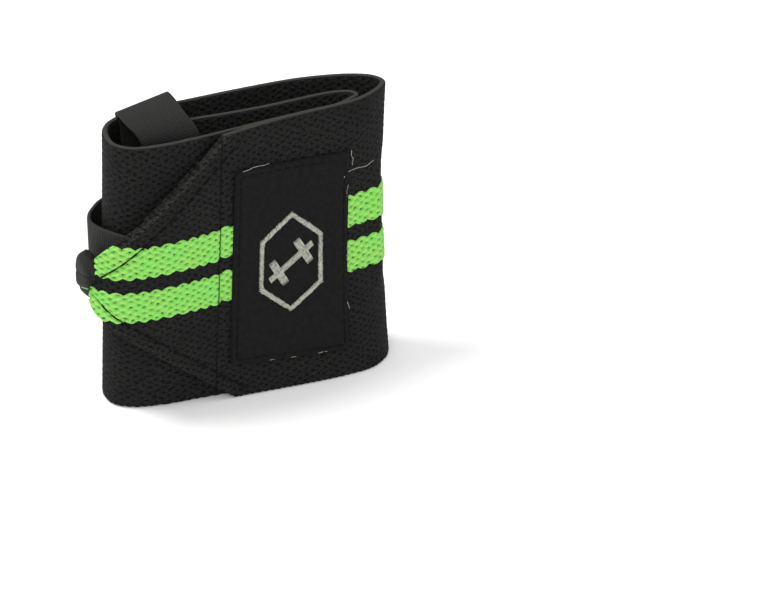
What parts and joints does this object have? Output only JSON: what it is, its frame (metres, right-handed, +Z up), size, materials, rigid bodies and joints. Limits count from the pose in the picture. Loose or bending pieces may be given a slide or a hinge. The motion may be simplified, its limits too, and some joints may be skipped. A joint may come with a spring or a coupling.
{
  "type": "wrist wrap",
  "caption": "Knitted elastic wrist wrap with a pointed sewn end, two raised stripes, a label patch and ribbon loops, rolled flat and standing on its edge.",
  "frame": {"origin": "middle of the bottom of the bounding box", "axes": "+Z up, the roll's long side along X, the face with the label patch towards -Y"},
  "size_m": [0.0904, 0.0324, 0.0812],
  "materials": {
    "black_knit": "knitted elastic, matt",
    "bright_yarn": "knitted yarn, matt",
    "patch_cloth": "tight plain weave, matt",
    "silver_thread": "satin stitch",
    "ribbon": "fine ribbed webbing, slight sheen"
  },
  "bodies": {
    "root": {"elastic_band": "black_knit", "stripe_upper": "bright_yarn", "stripe_lower": "bright_yarn", "corner_fold_upper": "black_knit", "corner_fold_lower": "black_knit", "label_patch": "patch_cloth", "emblem_ring": "silver_thread", "emblem_bar": "silver_thread", "tip_strap": "ribbon", "tip_cap": "ribbon", "thumb_loop": "ribbon"}
  },
  "joints": []
}
